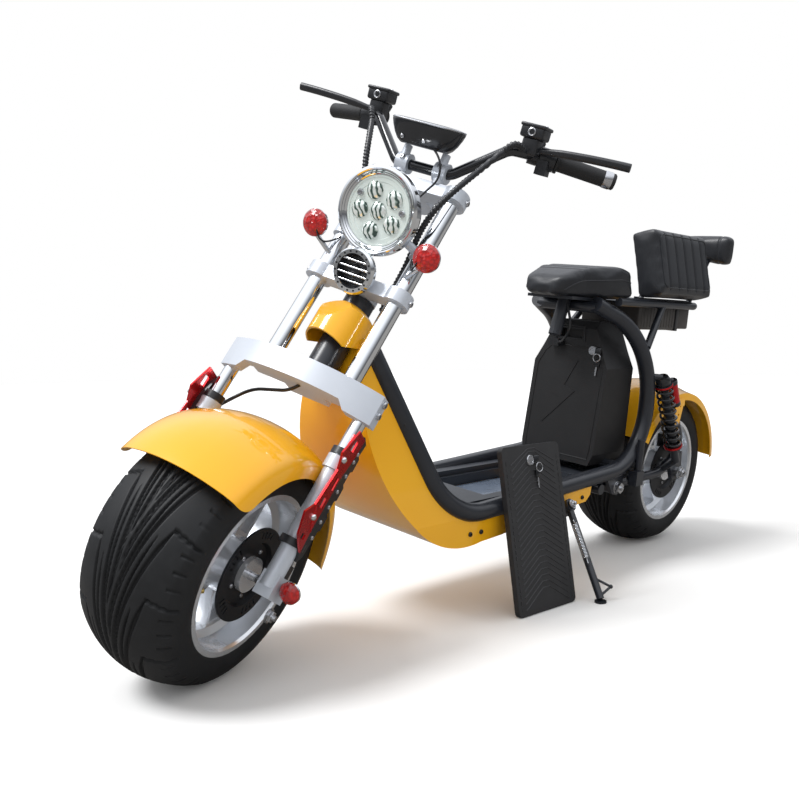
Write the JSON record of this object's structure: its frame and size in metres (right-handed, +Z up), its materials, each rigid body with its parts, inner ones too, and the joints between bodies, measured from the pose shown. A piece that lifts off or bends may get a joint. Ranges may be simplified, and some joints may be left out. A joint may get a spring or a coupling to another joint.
{
  "type": "electric chopper scooter",
  "caption": "Low step-through electric scooter with a long raked chopper fork, broad low-profile tyres, saddle, rear rack with a folding pad and a side stand.",
  "frame": {"origin": "on the floor, in the middle of the parked scooter's box", "axes": "+Z up, -Y towards the front wheel, +X towards the rider's left, the side that the scooter leans to"},
  "size_m": [0.7108, 2.055, 1.2192],
  "materials": {
    "alloy": "polished",
    "black_plastic": "textured black",
    "chrome": "mirror",
    "clear_lens": "clear",
    "disc_steel": "ground steel",
    "frame_black": "satin black",
    "leather": "black leatherette, semi-gloss",
    "red_lens": "clear red plastic",
    "red_metal": "gloss red",
    "rubber": "moulded",
    "silver_paint": "satin silver paint",
    "tyre": "matt black rubber",
    "yellow_paint": "gloss amber yellow"
  },
  "bodies": {
    "front_wheel": {"front_rim": "alloy", "front_tyre": "tyre", "front_disc": "disc_steel"},
    "rear_wheel": {"rear_rim": "alloy", "rear_tyre": "tyre", "rear_disc": "disc_steel"},
    "fork": {"fork_clamps": "silver_paint", "fork_tubes": "chrome", "fork_arch": "silver_paint", "front_axle": "disc_steel", "fork_sliders": "silver_paint", "front_fender": "yellow_paint", "leg_guards": "red_metal", "guard_rails": "black_plastic", "front_caliper": "frame_black", "headlight": "chrome", "headlight_lens": "clear_lens", "lamp_ears": "silver_paint", "horn": "chrome", "marker_lenses": "red_lens", "marker_cups": "chrome", "handlebar": "frame_black", "grips": "rubber", "switch_pods": "black_plastic", "brake_controls": "black_plastic", "mirror_bosses": "frame_black", "bar_risers": "silver_paint", "meter": "black_plastic", "control_cables": "rubber"},
    "chassis": {"frame_rails": "frame_black", "head_tube": "frame_black", "axle_bolts": "disc_steel", "cross_tubes": "frame_black", "seat_support": "frame_black", "front_apron": "yellow_paint", "belly_panel": "yellow_paint", "neck_cover": "yellow_paint", "deck": "black_plastic", "deck_battery": "black_plastic", "battery_case": "black_plastic", "seat_lead": "rubber", "saddle": "leather", "rack": "frame_black", "rack_box": "black_plastic", "backrest": "leather", "swingarm": "frame_black", "shock_springs": "chrome", "shock_cans": "red_metal", "shock_dampers": "disc_steel", "rear_fender": "yellow_paint", "rear_caliper": "frame_black", "foot_pegs": "rubber", "stand_bracket": "frame_black"},
    "passenger_pad": {"passenger_pad": "leather"},
    "side_stand": {"side_stand": "frame_black"},
    "hatch_lid": {"hatch_lid": "black_plastic"}
  },
  "joints": [
    {"name": "steering", "type": "hinge", "parent": "chassis", "child": "fork", "pos_m": [-0.06402, -0.45354, 0.70158], "axis": [0.1008, 0.5621, 0.8209], "range_deg": [-46, 0]},
    {"name": "front_wheel_spin", "type": "hinge", "parent": "fork", "child": "front_wheel", "pos_m": [-0.11425, -0.79263, 0.23475], "axis": [0.8869, 0.3232, -0.3302], "continuous": true},
    {"name": "rear_wheel_spin", "type": "hinge", "parent": "chassis", "child": "rear_wheel", "pos_m": [-0.121, 0.763, 0.23757], "axis": [0.9925, 0, -0.1219], "continuous": true},
    {"name": "side_stand_fold", "type": "hinge", "parent": "chassis", "child": "side_stand", "pos_m": [0.04899, 0.13, 0.21065], "axis": [0.8704, 0, 0.4924], "range_deg": [0, 88]},
    {"name": "pad_fold", "type": "hinge", "parent": "chassis", "child": "passenger_pad", "pos_m": [0.03759, 0.625, 0.73323], "axis": [0, 1, 0], "range_deg": [-76, 0]},
    {"name": "hatch_lid_lift", "type": "slide", "parent": "chassis", "child": "hatch_lid", "axis": [0, 0, 1], "range_m": [0, 0.3]}
  ]
}
